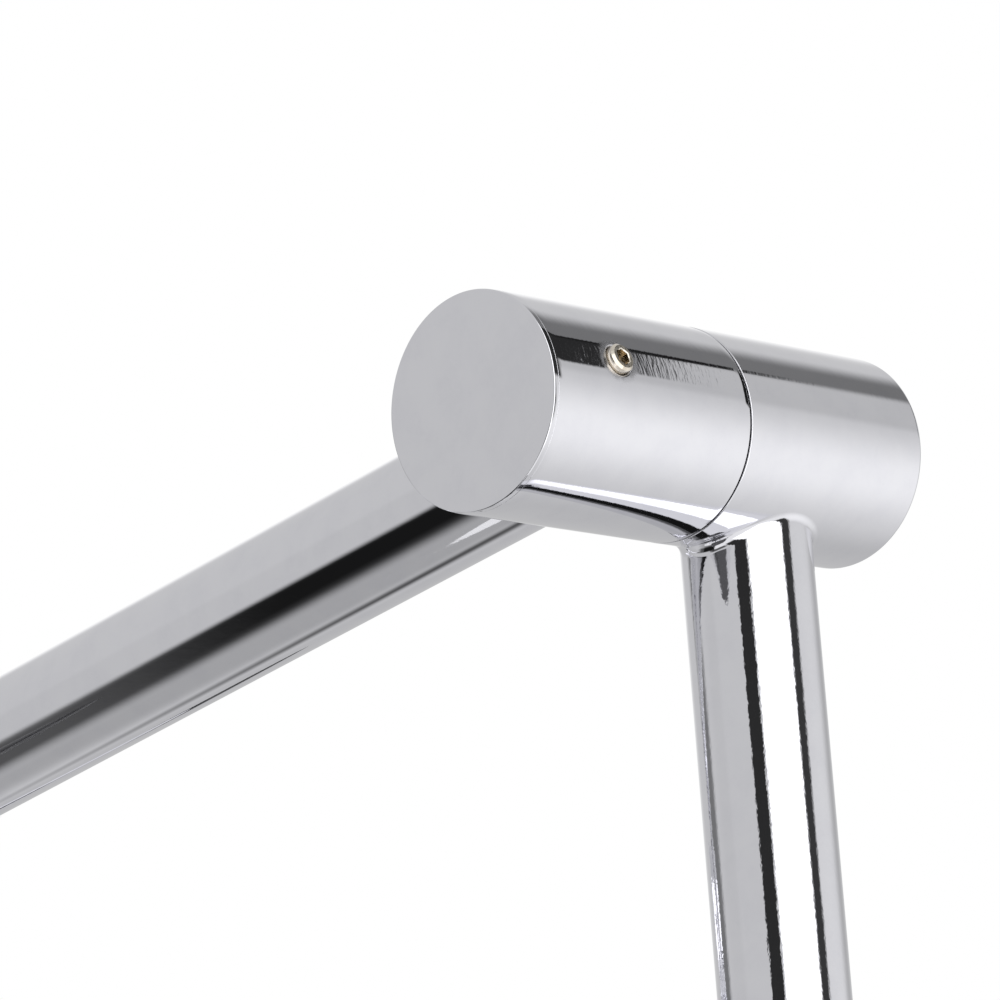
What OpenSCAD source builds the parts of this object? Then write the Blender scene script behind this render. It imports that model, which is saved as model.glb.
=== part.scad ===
// Chromed tube valet stand: a floor loop, a leaning column, a tilting arm and a jacket hanger,
// joined by three round friction hubs. A trouser rail and a swivel tray ride on the column.
// Millimetres. +Z is up, -Y is the front, +X is the side of the arm, origin on the floor
// under the middle of the base loop.

/* [Tubes] */
// Outer diameter of the column, arm, neck and stub tubes
tube_d = 22; // [20:0.5:24]
// Outer diameter of the base loop and shoulder bar tubes
loop_d = 25; // [24:0.5:28]
// Outer diameter of the bracket and trouser bar tubes
bar_d = 16; // [14:0.5:18]
// Wall of every tube
tube_wall = 1.5; // [1.2:0.1:2]

/* [Hubs] */
// Outer diameter of every friction hub
hub_d = 36; // [34:0.5:40]
// Length of the clamp half of a hub, with its end cap
clamp_len = 47; // [45:0.5:52]
// Length of the plain half of a hub
plain_len = 44; // [42:0.5:50]
// Distance from a hub's parting line to each tube's axis
tube_offset = 17.2; // [16:0.1:19]
// Hairline gap at the parting line
parting_gap = 0.3; // [0.2:0.05:0.5]
// Turn from a clamp half's tube to its set screw, in degrees
screw_turn = -175.4; // [-180:0.2:-165]
// Distance from the clamp half's end face to its set screw
screw_inset = 16.2; // [14.8:0.1:17]

/* [Stand] */
// Height of the elbow hub's axis
elbow_z = 1100; // [1050:10:1150]
// Height of the foot hub's axis
foot_z = 66; // [64:1:80]
// Forward lean of the column, in degrees
lean = 5.86; // [4:0.02:8]
// Length of the arm between its two hub axes
arm_len = 260; // [230:5:270]
// Dip of the arm below the horizontal, in degrees
arm_dip = 16.42; // [10:0.02:20]
// Drop from the wrist hub's axis to the shoulder bar
neck_len = 75; // [60:1:90]

/* [Base] */
// Outer width of the base loop
base_w = 460; // [440:5:480]
// Outer depth of the base loop
base_depth = 400; // [380:5:420]
// Bend radius of the base loop, to the tube's centre
base_bend = 70; // [60:1:80]
// Clearance of the base loop above the floor
pad_h = 7; // [6:0.5:9]
// Distance of each rubber foot from the middle of the stand
pad_x = 135; // [100:5:140]
// Diameter of the shoe rails
shoe_rail_d = 10; // [8:0.5:12]

/* [Hanger] */
// Half length of the straight middle of the shoulder bar
shoulder_flat = 30; // [24:1:40]
// Bend radius of each shoulder, to the tube's centre
shoulder_r = 330; // [300:5:360]
// Slope of the shoulder bar at its ends, in degrees
shoulder_slope = 31; // [28:0.5:33]
// Forward sweep of the shoulders, in degrees from straight down
shoulder_sweep = 22; // [0:1:30]

/* [Trouser rail] */
// Height of the trouser rail's collar
rail_z = 650; // [620:10:700]
// Reach from the column's axis to the trouser bar
rail_reach = 72; // [65:1:80]
// Length of the trouser bar
rail_len = 380; // [340:5:400]

/* [Tray] */
// Height of the tray's collar
tray_z = 820; // [800:5:840]
// Length of the tray
tray_len = 170; // [150:5:175]
// Width of the tray
tray_w = 130; // [110:5:140]
// Height of the tray's rim
tray_h = 16; // [12:1:20]

/* [Hidden] */
$fn = 96;
over = 1;                 // overshoot of every cut
fit = 0.05;               // radial gap of a shaft in its hole
slip = 0.08;              // radial gap of a collar on the column
edge = 0.3;               // broken edge of the turned parts
hub_r = hub_d / 2;
tube_r = tube_d / 2;
loop_r = loop_d / 2;
bar_r = bar_d / 2;

// Hub internals
spindle_r = 8;
spindle_in = 31.5;        // spindle length held in the plain half
spindle_out = 37.5;       // spindle length in the clamp half
groove_w = 6;
groove_depth = 1.2;
washer_r = 15;
recess = 1;               // depth of the washer's recess in each half
cap_t = 1;                // visible thickness of the end cap
spigot_r = 12;
spigot_len = 6;
m5_r = 2.5;
m5_socket = 2.5;          // across flats
m5_proud = 1.2;           // how far a hub's set screw stands out
point_gap = 0.3;          // set screw point to the bottom of the groove

// Hub places. Hub axes lie along X.
joint_x = tube_offset;
clamp_x = 2 * tube_offset;
loop_z = pad_h + loop_r;
loop_x = base_w / 2 - loop_r;
loop_y = base_depth / 2 - loop_r;
foot_y = loop_y;
elbow_y = foot_y - (elbow_z - foot_z) * tan(lean);
column_len = (elbow_z - foot_z) / cos(lean);
wrist_y = elbow_y - arm_len * cos(arm_dip);
wrist_z = elbow_z - arm_len * sin(arm_dip);
bar_z = wrist_z - neck_len;
up_angle = 90 + lean;             // angles in the YZ plane, from +Y towards +Z
down_angle = -90;
arm_angle = 180 + arm_dip;

// Column collars, as distances from the foot hub's axis along the column
collar_len = 34;
sleeve_r = 13;
ring_len = 14;
ring_r = 16;
ring_gap = 0.2;
rail_s = (rail_z - foot_z) / cos(lean);
tray_s = (tray_z - foot_z) / cos(lean);

// Trouser rail
tee_r = 12;
tee_len = 36;
grip_t = 2;
grip_len = 140;
grip_gap = 4;             // from the tee to each grip
plug_len = 12;

// Tray
tray_sheet = 1.5;
tray_corner = 24;
tray_near = 45;           // from the column's axis to the tray's near wall
mat_t = 2;
plate_t = 3;              // above the bracket tube
plate_saddle = 4;         // wrapped down its sides
plate_len = 70;
plate_w = 26;
tray_screw_r = 2;
tray_screw_pitch = 50;
head_r = 3.6;
head_t = 1.8;
bracket_end = tray_near + tray_len / 2 + 40;

// Base
pad_r = 13;
pad_screw_r = 2;
pad_recess = 3;
shoe_rail_y = [-70, 60];
vent_r = 4;

// Shoulder pads, as angles along the shoulder bend, back from the bar's end
pad_mouth = 8.5;
pad_middle = 3;
pad_tip = 1.2;            // past the bar's end

// ---- placing helpers ----

// Turns a shape drawn along +Z to lie along +X.
module along_x() {
    rotate([0, 90, 0]) children();
}

// Turns a shape drawn along +Z to point at an angle in the YZ plane.
module aim(angle) {
    rotate([angle - 90, 0, 0]) children();
}

module at_foot() {
    translate([0, foot_y, foot_z]) children();
}

module at_elbow() {
    translate([0, elbow_y, elbow_z]) children();
}

module at_wrist() {
    translate([0, wrist_y, wrist_z]) children();
}

// Draws children with +Z along the column, at a distance from the foot hub's axis.
module on_column(s) {
    at_foot() aim(up_angle) translate([0, 0, s]) children();
}

// ---- shared shapes ----

module pipe(d, len, wall = tube_wall) {
    difference() {
        cylinder(d = d, h = len);
        translate([0, 0, -over]) cylinder(d = d - 2 * wall, h = len + 2 * over);
    }
}

// The space that a hub's outside takes, to cut a tube's end to a saddle.
module hub_space() {
    translate([-60, 0, 0]) along_x() cylinder(r = hub_r, h = 160);
}

// A disc or drum turned about +Z with both outer edges broken.
module turned(r, len, bottom_edge = edge, top_edge = edge) {
    rotate_extrude() polygon([
        [0, 0], [r - bottom_edge, 0], [r, bottom_edge],
        [r, len - top_edge], [r - top_edge, len], [0, len]
    ]);
}

// A socket set screw pointing down -Z from its top face at the origin.
module set_screw(len) {
    point = 1.5;
    difference() {
        union() {
            translate([0, 0, -len + point]) turned(m5_r, len - point, 0, edge);
            translate([0, 0, -len]) cylinder(r1 = m5_r - point, r2 = m5_r, h = point);
        }
        translate([0, 0, -3]) cylinder(d = m5_socket / cos(30), h = 3 + over, $fn = 6);
    }
}

// ---- friction hub ----

// Half with the tube at clamp_x: drilled through for the spindle, capped, and cross-drilled
// for the set screw.
module hub_clamp(tube_angle) {
    body_start = joint_x + parting_gap / 2;
    body_len = clamp_len - cap_t - parting_gap / 2;
    color("silver") difference() {
        translate([body_start, 0, 0]) along_x() turned(hub_r, body_len, edge, edge / 3);
        translate([joint_x - over, 0, 0]) along_x()
            cylinder(r = spindle_r + fit, h = clamp_len + 2 * over);
        translate([body_start - over, 0, 0]) along_x()
            cylinder(r = washer_r + fit, h = recess + over);
        translate([body_start + body_len - spigot_len, 0, 0]) along_x()
            cylinder(r = spigot_r + fit, h = spigot_len + over);
        translate([joint_x + clamp_len - screw_inset, 0, 0]) aim(tube_angle + screw_turn)
            cylinder(r = m5_r + fit, h = hub_d);
    }
}

module hub_cap() {
    cap_start = joint_x + clamp_len - cap_t;
    color("silver") {
        translate([cap_start, 0, 0]) along_x() turned(hub_r, cap_t, edge / 3, edge);
        translate([cap_start - spigot_len + over, 0, 0]) along_x()
            cylinder(r = spigot_r, h = spigot_len);
    }
}

// Half with the tube at x = 0: closed at its far end, and holds the spindle.
module hub_plain() {
    body_len = plain_len - parting_gap / 2;
    color("silver") difference() {
        translate([joint_x - plain_len, 0, 0]) along_x() turned(hub_r, body_len, edge * 2, edge);
        translate([joint_x - spindle_in - fit, 0, 0]) along_x()
            cylinder(r = spindle_r + fit, h = plain_len);
        translate([joint_x - parting_gap / 2 - recess, 0, 0]) along_x()
            cylinder(r = washer_r + fit, h = plain_len);
    }
}

module hub_spindle() {
    groove_x = joint_x + clamp_len - screw_inset;
    color("lightgray") difference() {
        translate([joint_x - spindle_in, 0, 0]) along_x()
            turned(spindle_r, spindle_in + spindle_out);
        translate([groove_x - groove_w / 2, 0, 0]) along_x() difference() {
            cylinder(r = spindle_r + over, h = groove_w);
            translate([0, 0, -over])
                cylinder(r = spindle_r - groove_depth, h = groove_w + 2 * over);
        }
    }
}

module hub_washer() {
    seat = recess + parting_gap / 2 - fit;
    color("white") translate([joint_x - seat, 0, 0]) along_x() difference() {
        cylinder(r = washer_r - fit, h = 2 * seat);
        translate([0, 0, -over]) cylinder(r = spindle_r + 4 * fit, h = 2 * seat + 2 * over);
    }
}

module hub_set_screw(tube_angle) {
    top = hub_r + m5_proud;
    len = top - (spindle_r - groove_depth) - point_gap;
    color("khaki") translate([joint_x + clamp_len - screw_inset, 0, 0])
        aim(tube_angle + screw_turn) translate([0, 0, top]) set_screw(len);
}

// ---- base ----

module loop_corner(x, y, turn) {
    translate([x, y, loop_z]) rotate([0, 0, turn]) rotate_extrude(angle = 90)
        translate([base_bend, 0]) difference() {
            circle(d = loop_d);
            circle(d = loop_d - 2 * tube_wall);
        }
}

module base_loop() {
    run_x = 2 * (loop_x - base_bend);
    run_y = 2 * (loop_y - base_bend);
    corner_x = run_x / 2;
    corner_y = run_y / 2;
    color("silver") difference() {
        union() {
            for (side = [-1, 1]) {
                translate([-corner_x, side * loop_y, loop_z]) along_x() pipe(loop_d, run_x);
                translate([side * loop_x, corner_y, loop_z]) rotate([90, 0, 0]) pipe(loop_d, run_y);
            }
            loop_corner(corner_x, corner_y, 0);
            loop_corner(-corner_x, corner_y, 90);
            loop_corner(-corner_x, -corner_y, 180);
            loop_corner(corner_x, -corner_y, 270);
        }
        translate([clamp_x, foot_y, loop_z]) cylinder(r = vent_r, h = loop_d);
        each_pad() cylinder(r = pad_screw_r, h = loop_z);
    }
}

module base_stub() {
    color("silver") difference() {
        translate([clamp_x, foot_y, loop_z]) pipe(tube_d, foot_z - loop_z);
        at_foot() hub_space();
        translate([-base_w, foot_y, loop_z]) along_x() cylinder(r = loop_r, h = 2 * base_w);
    }
}

module shoe_rails() {
    color("silver") difference() {
        for (y = shoe_rail_y)
            translate([-loop_x, y, loop_z]) along_x() cylinder(d = shoe_rail_d, h = 2 * loop_x);
        for (side = [-1, 1])
            translate([side * loop_x, base_depth, loop_z]) rotate([90, 0, 0])
                cylinder(r = loop_r, h = 2 * base_depth);
    }
}

module each_pad() {
    for (x = [-pad_x, pad_x], y = [-loop_y, loop_y])
        translate([x, y, 0]) children();
}

// Rubber feet with a saddle on top and a countersunk screw from below.
module foot_pads() {
    color("dimgray") each_pad() difference() {
        turned(pad_r, loop_z - loop_r * 0.8, 1, edge);
        translate([-2 * pad_r, 0, loop_z]) along_x() cylinder(r = loop_r, h = 4 * pad_r);
        translate([0, 0, -over]) cylinder(r = pad_screw_r + fit, h = loop_z);
        translate([0, 0, -over]) cylinder(r = head_r + fit, h = pad_recess + over);
    }
}

module foot_pad_screws() {
    screw_top = pad_h + tube_wall + 3;
    color("gray") each_pad() difference() {
        union() {
            translate([0, 0, pad_recess - head_t]) cylinder(r = head_r, h = head_t);
            translate([0, 0, pad_recess - head_t]) cylinder(r = pad_screw_r - fit, h = screw_top);
        }
        translate([0, 0, pad_recess - head_t - over])
            cylinder(d = m5_socket / cos(30), h = over + 1.2, $fn = 6);
    }
}

// ---- column and arm ----

module column_tube() {
    color("silver") difference() {
        on_column(0) pipe(tube_d, column_len);
        at_foot() hub_space();
        at_elbow() hub_space();
    }
}

module arm_tube() {
    color("silver") difference() {
        translate([clamp_x, 0, 0]) at_elbow() aim(arm_angle) pipe(tube_d, arm_len);
        at_elbow() hub_space();
        at_wrist() hub_space();
    }
}

// ---- hanger ----

module neck_tube() {
    color("silver") difference() {
        at_wrist() aim(down_angle) pipe(tube_d, neck_len);
        at_wrist() hub_space();
        translate([-60, wrist_y, bar_z]) along_x() cylinder(r = loop_r, h = 120);
    }
}

// Puts children in the swept plane of the shoulders, at the middle of the shoulder bar.
module shoulder_plane() {
    translate([0, wrist_y, bar_z]) rotate([-shoulder_sweep, 0, 0]) children();
}

// Sweeps a 2-D profile along the +X shoulder's bend.
module shoulder_arc(slope) {
    translate([shoulder_flat, 0, -shoulder_r]) rotate([0, -90, -90])
        rotate_extrude(angle = slope) translate([shoulder_r, 0]) children();
}

// Puts children, drawn along +X, on the +X shoulder's bend.
module on_shoulder(slope) {
    translate([shoulder_flat, 0, -shoulder_r]) rotate([0, slope, 0])
        translate([0, 0, shoulder_r]) children();
}

module shoulder_bar() {
    color("silver") difference() {
        shoulder_plane() {
            translate([-shoulder_flat, 0, 0]) along_x() pipe(loop_d, 2 * shoulder_flat);
            for (side = [0, 1]) mirror([side, 0, 0]) shoulder_arc(shoulder_slope) difference() {
                circle(d = loop_d);
                circle(d = loop_d - 2 * tube_wall);
            }
        }
        translate([0, wrist_y, bar_z]) cylinder(r = vent_r, h = loop_d);
    }
}

// Moulded shoulder end over the end of the bar.
module shoulder_pad() {
    color("dimgray") shoulder_plane() difference() {
        hull() {
            on_shoulder(shoulder_slope - pad_mouth) scale([0.3, 1.12, 1])
                sphere(r = 14.5, $fn = 32);
            on_shoulder(shoulder_slope - pad_middle) scale([1, 1.5, 1]) sphere(r = 15, $fn = 32);
            on_shoulder(shoulder_slope + pad_tip) translate([0, 0, -2]) scale([1, 1.55, 0.95])
                sphere(r = 14, $fn = 32);
        }
        shoulder_arc(shoulder_slope + 0.01) circle(r = loop_r + fit);
    }
}

// ---- column collars ----

// A ring clamped on the column by a set screw at its back.
module stop_ring() {
    color("silver") difference() {
        turned(ring_r, ring_len);
        translate([0, 0, -over]) cylinder(r = tube_r + slip, h = ring_len + 2 * over);
        translate([0, 0, ring_len / 2]) rotate([-90, 0, 0]) cylinder(r = m5_r + fit, h = ring_r * 2);
    }
}

module stop_screw() {
    len = ring_r - tube_r - slip - 2 * fit + 0.2;
    color("khaki") translate([0, 0, ring_len / 2]) rotate([-90, 0, 0])
        translate([0, 0, ring_r + 0.2]) set_screw(len);
}

module collar() {
    color("silver") difference() {
        turned(hub_r, collar_len);
        translate([0, 0, -over]) cylinder(r = sleeve_r + fit, h = collar_len + 2 * over);
    }
}

// Plastic friction sleeve between a collar and the column.
module collar_sleeve() {
    color("white") difference() {
        turned(sleeve_r, collar_len);
        translate([0, 0, -over]) cylinder(r = tube_r + slip, h = collar_len + 2 * over);
    }
}

// The stop ring lies just under its collar.
module below_collar(s) {
    on_column(s - collar_len / 2 - ring_gap - ring_len) children();
}

module at_collar(s) {
    on_column(s - collar_len / 2) children();
}

// ---- trouser rail ----

// The column's frame has -Y pointing forward, so the bracket runs along -Y.
module rail_bracket() {
    color("silver") on_column(rail_s) difference() {
        rotate([90, 0, 0]) pipe(bar_d, rail_reach);
        translate([0, 0, -collar_len]) cylinder(r = hub_r, h = 2 * collar_len);
        translate([-tee_len, -rail_reach, 0]) along_x() cylinder(r = tee_r, h = 2 * tee_len);
    }
}

module at_bar() {
    on_column(rail_s) translate([0, -rail_reach, 0]) children();
}

module rail_tee() {
    color("silver") at_bar() difference() {
        translate([-tee_len / 2, 0, 0]) along_x() turned(tee_r, tee_len);
        translate([-tee_len, 0, 0]) along_x() cylinder(r = bar_r + fit, h = 2 * tee_len);
        translate([0, 0, -tee_r * 2]) cylinder(r = m5_r + fit, h = tee_r * 2);
    }
}

module rail_tee_screw() {
    color("khaki") at_bar() rotate([180, 0, 0]) translate([0, 0, tee_r + 0.2])
        set_screw(tee_r + 0.2 - bar_r - 2 * fit);
}

module trouser_bar() {
    color("silver") at_bar() translate([-rail_len / 2, 0, 0]) along_x() pipe(bar_d, rail_len);
}

module trouser_grips() {
    color("dimgray") at_bar() for (side = [0, 1]) mirror([side, 0, 0])
        translate([tee_len / 2 + grip_gap, 0, 0]) along_x() difference() {
            turned(bar_r + grip_t, grip_len, 0.8, 0.8);
            translate([0, 0, -over]) cylinder(r = bar_r + fit, h = grip_len + 2 * over);
        }
}

// Domed plugs in the ends of the trouser bar.
module trouser_bar_plugs() {
    dome_r = 14;
    dome_h = dome_r - sqrt(dome_r * dome_r - bar_r * bar_r);
    color("silver") at_bar() for (side = [0, 1]) mirror([side, 0, 0])
        translate([rail_len / 2, 0, 0]) along_x() {
            translate([0, 0, -plug_len]) cylinder(r = bar_r - tube_wall - fit, h = plug_len + fit);
            intersection() {
                cylinder(r = bar_r, h = 2 * dome_h + fit);
                translate([0, 0, dome_h + 1 - dome_r]) sphere(r = dome_r);
            }
        }
}

// ---- tray ----

module tray_bracket() {
    color("silver") difference() {
        on_column(tray_s) along_x() pipe(bar_d, bracket_end);
        on_column(tray_s - collar_len) cylinder(r = hub_r, h = 2 * collar_len);
    }
}

module tray_outline(inset = 0) {
    r = tray_corner - inset;
    reach_x = tray_len / 2 - tray_corner;
    reach_y = tray_w / 2 - tray_corner;
    for (x = [-reach_x, reach_x], y = [-reach_y, reach_y]) translate([x, y]) circle(r = r);
    square([2 * reach_x, tray_w - 2 * inset], center = true);
    square([tray_len - 2 * inset, 2 * reach_y], center = true);
}

// Draws children at the middle of the tray's underside, level with the floor.
module at_dish() {
    translate([tray_near + tray_len / 2, foot_y - (tray_z - foot_z) * tan(lean), tray_z])
        translate([0, 0, bar_r + plate_t]) children();
}

module each_tray_screw() {
    for (x = [-tray_screw_pitch / 2, tray_screw_pitch / 2]) translate([x, 0, 0]) children();
}

module tray_plate() {
    color("silver") difference() {
        at_dish() translate([-plate_len / 2, -plate_w / 2, -plate_t - plate_saddle])
            cube([plate_len, plate_w, plate_t + plate_saddle]);
        on_column(tray_s) along_x() cylinder(r = bar_r, h = bracket_end + over);
        at_dish() each_tray_screw() translate([0, 0, -4 * plate_t])
            cylinder(r = tray_screw_r, h = 5 * plate_t);
    }
}

module tray_dish() {
    color("silver") at_dish() difference() {
        linear_extrude(tray_h) tray_outline();
        translate([0, 0, tray_sheet]) linear_extrude(tray_h) tray_outline(tray_sheet);
        each_tray_screw() translate([0, 0, -over]) cylinder(r = tray_screw_r, h = tray_sheet + 2 * over);
    }
}

module tray_screws() {
    color("gray") at_dish() each_tray_screw() {
        translate([0, 0, tray_sheet]) cylinder(r = head_r, h = 1);
        translate([0, 0, -plate_t + fit]) cylinder(r = tray_screw_r - fit, h = plate_t + tray_sheet);
    }
}

module tray_mat() {
    color("darkslategray") at_dish() translate([0, 0, tray_sheet + 1 + fit])
        linear_extrude(mat_t) tray_outline(tray_sheet + 0.5);
}

// ---- assembly ----

base_loop();
base_stub();
shoe_rails();
foot_pads();
foot_pad_screws();
at_foot() hub_clamp(down_angle);  // foot_hub_clamp
at_foot() hub_cap();  // foot_hub_cap
at_foot() hub_set_screw(down_angle);  // foot_set_screw
at_foot() hub_plain();  // foot_hub_plain
at_foot() hub_spindle();  // foot_spindle
at_foot() hub_washer();  // foot_washer
column_tube();
at_elbow() hub_plain();  // elbow_hub_plain
at_elbow() hub_spindle();  // elbow_spindle
at_elbow() hub_washer();  // elbow_washer
at_elbow() hub_clamp(arm_angle);  // elbow_hub_clamp
at_elbow() hub_cap();  // elbow_hub_cap
at_elbow() hub_set_screw(arm_angle);  // elbow_set_screw
arm_tube();
at_wrist() hub_clamp(arm_angle - 180);  // wrist_hub_clamp
at_wrist() hub_cap();  // wrist_hub_cap
at_wrist() hub_set_screw(arm_angle - 180);  // wrist_set_screw
at_wrist() hub_plain();  // wrist_hub_plain
at_wrist() hub_spindle();  // wrist_spindle
at_wrist() hub_washer();  // wrist_washer
neck_tube();
shoulder_bar();
mirror([1, 0, 0]) shoulder_pad();  // shoulder_pad_left
shoulder_pad();  // shoulder_pad_right
below_collar(rail_s) stop_ring();  // rail_stop_ring
below_collar(rail_s) stop_screw();  // rail_stop_screw
at_collar(rail_s) collar();  // rail_collar
at_collar(rail_s) collar_sleeve();  // rail_sleeve
rail_bracket();
rail_tee();
rail_tee_screw();
trouser_bar();
trouser_grips();
trouser_bar_plugs();
below_collar(tray_s) stop_ring();  // tray_stop_ring
below_collar(tray_s) stop_screw();  // tray_stop_screw
at_collar(tray_s) collar();  // tray_collar
at_collar(tray_s) collar_sleeve();  // tray_sleeve
tray_bracket();
tray_plate();
tray_screws();
tray_dish();
tray_mat();
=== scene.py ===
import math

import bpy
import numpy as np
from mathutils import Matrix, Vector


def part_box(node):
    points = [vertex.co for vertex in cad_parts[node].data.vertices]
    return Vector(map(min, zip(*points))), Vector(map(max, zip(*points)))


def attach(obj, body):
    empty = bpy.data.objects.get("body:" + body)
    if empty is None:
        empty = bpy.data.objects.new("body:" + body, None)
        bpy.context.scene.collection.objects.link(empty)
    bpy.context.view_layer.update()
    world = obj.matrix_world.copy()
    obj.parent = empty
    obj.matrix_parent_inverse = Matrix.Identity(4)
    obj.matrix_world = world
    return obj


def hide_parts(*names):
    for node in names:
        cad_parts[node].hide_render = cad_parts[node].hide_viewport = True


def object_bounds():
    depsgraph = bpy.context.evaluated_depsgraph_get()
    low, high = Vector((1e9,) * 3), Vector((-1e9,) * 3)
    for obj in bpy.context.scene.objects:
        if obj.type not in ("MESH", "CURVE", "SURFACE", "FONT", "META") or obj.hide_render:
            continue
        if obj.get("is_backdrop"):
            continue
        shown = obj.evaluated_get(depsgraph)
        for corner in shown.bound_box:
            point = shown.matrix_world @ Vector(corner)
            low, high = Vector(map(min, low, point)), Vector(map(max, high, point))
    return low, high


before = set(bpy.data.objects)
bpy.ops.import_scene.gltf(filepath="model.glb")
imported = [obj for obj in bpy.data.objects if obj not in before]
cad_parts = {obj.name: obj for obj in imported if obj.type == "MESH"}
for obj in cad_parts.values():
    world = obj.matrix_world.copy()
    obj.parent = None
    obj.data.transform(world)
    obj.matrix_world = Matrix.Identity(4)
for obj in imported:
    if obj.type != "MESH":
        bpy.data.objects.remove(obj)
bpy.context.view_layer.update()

# Looks for the valet stand: exact polished shells over the CAD frame, chrome, rubber and plastic
# materials, a studio made of soft light and dark cards, and the camera. Lengths are in metres, most
# of them written as so many MM.

MM = 0.001
SAME = 1e-9          # places and normals that differ by less than this are the same
X, Y, Z = np.eye(3)

# ---------- sizes, from the CAD frame


def corners(node):
    low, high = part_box(node)
    return np.array(low), np.array(high)


def middle(node):
    low, high = corners(node)
    return (low + high) / 2


def half_span(node):
    low, high = corners(node)
    return (high - low) / 2


def unit(v):
    v = np.asarray(v, float)
    return v / np.linalg.norm(v)


def rounded_up(a, b):
    """Normals part of the way between a and b, made unit length again."""
    v = a + b
    return v / np.linalg.norm(v, axis=-1, keepdims=True)


HUB_R = half_span("elbow_hub_cap")[2]
TUBE_R = half_span("column_tube")[0]
LOOP_R = half_span("base_loop")[2]
BAR_R = half_span("trouser_bar")[2]
RAIL_R = half_span("shoe_rails")[2]
SPINDLE_R = half_span("elbow_spindle")[2]
WASHER_R = half_span("elbow_washer")[2]
CLAMP_END = corners("elbow_hub_clamp")[1][0]
CAP_END = corners("elbow_hub_cap")[1][0]
PLAIN_END = corners("elbow_hub_plain")[0][0]
ARM_X = middle("arm_tube")[0]

FOOT = middle("foot_hub_cap") * [0, 1, 1]
ELBOW = middle("elbow_hub_cap") * [0, 1, 1]
WRIST = middle("wrist_hub_cap") * [0, 1, 1]
UP_COLUMN = unit(ELBOW - FOOT)
DOWN_COLUMN = -UP_COLUMN
COLUMN_BACK = np.cross(UP_COLUMN, X)
ALONG_ARM = unit(WRIST - ELBOW)
WALL = 1.5 * MM      # of every tube

# ---------- shells with exact normals


class Shell:
    """A closed mesh put together from rings of points, with the true normal at every corner."""

    MOST_POINTS = 1 << 17

    def __init__(self):
        self.points = np.zeros((self.MOST_POINTS, 3))
        self.count = 0
        self.faces = []
        self.normals = []
        self.handled = None  # a dulled patch: its middle, the way out of the metal, near and far radius

    def add(self, points):
        first, self.count = self.count, self.count + len(points)
        self.points[first:self.count] = points
        return np.arange(first, self.count)

    def faces_of(self, ids, normals):
        """Adds faces from arrays of corner ids and corner normals, each turned to face outwards."""
        ids, normals = np.asarray(ids), np.asarray(normals, float)
        p = self.points[ids]
        turn = np.cross(p[:, 1] - p[:, 0], p[:, 2] - p[:, 0])
        if ids.shape[1] == 4:
            turn = turn + np.cross(p[:, 2] - p[:, 0], p[:, 3] - p[:, 0])
        back = (turn * normals.sum(1)).sum(1) < 0
        ids, normals = ids.copy(), normals.copy()
        ids[back], normals[back] = ids[back][:, ::-1], normals[back][:, ::-1]
        self.faces.extend(ids.tolist())
        self.normals.append(normals.reshape(-1, 3))

    def strip(self, a, b, na, nb):
        """Quads between two closed rings of the same count."""
        a, b = np.asarray(a), np.asarray(b)
        a2, b2, na2, nb2 = (np.roll(v, -1, axis=0) for v in (a, b, na, nb))
        self.faces_of(np.stack([a, a2, b2, b], 1), np.stack([na, na2, nb2, nb], 1))

    def flat_strip(self, a, b, outward):
        """Quads between two rings, each with its own flat normal on the side that outward says."""
        a, b = np.asarray(a), np.asarray(b)
        ids = np.stack([a, np.roll(a, -1), np.roll(b, -1), b], 1)
        p = self.points[ids]
        flat = np.cross(p[:, 2] - p[:, 0], p[:, 3] - p[:, 1])
        flat /= np.linalg.norm(flat, axis=1, keepdims=True)
        flat[(flat * outward).sum(1) < 0] *= -1
        self.faces_of(ids, np.repeat(flat[:, None], 4, axis=1))

    def fan(self, ring, centre, normal):
        """Closes a ring with triangles to one point."""
        ring = np.asarray(ring)
        middle_id = np.full(len(ring), self.add([centre])[0])
        ids = np.stack([ring, np.roll(ring, -1), middle_id], 1)
        self.faces_of(ids, np.broadcast_to(normal, (len(ring), 3, 3)))

    def build(self, name):
        mesh = bpy.data.meshes.new(name)
        mesh.from_pydata(self.points[:self.count].tolist(), [], self.faces)
        mesh.polygons.foreach_set("use_smooth", [True] * len(mesh.polygons))
        normals = np.concatenate(self.normals)
        normals /= np.linalg.norm(normals, axis=1, keepdims=True)
        mesh.normals_split_custom_set(normals.tolist())
        mesh.update()
        if self.handled:
            middle_point, outward, near, far = self.handled
            away = self.points[:self.count] - middle_point
            height = away @ outward
            away = np.linalg.norm(away - height[:, None] * outward, axis=1)
            share = np.clip((far - away) / (far - near), 0, 1) * (height > 0)
            mesh.attributes.new("handled", "FLOAT", "POINT").data.foreach_set("value", share)
        obj = bpy.data.objects.new(name, mesh)
        bpy.context.scene.collection.objects.link(obj)
        return obj


# A profile is a list of (s, r, ns, nr): a point at s along the axis and r from it, with its normal.


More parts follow.
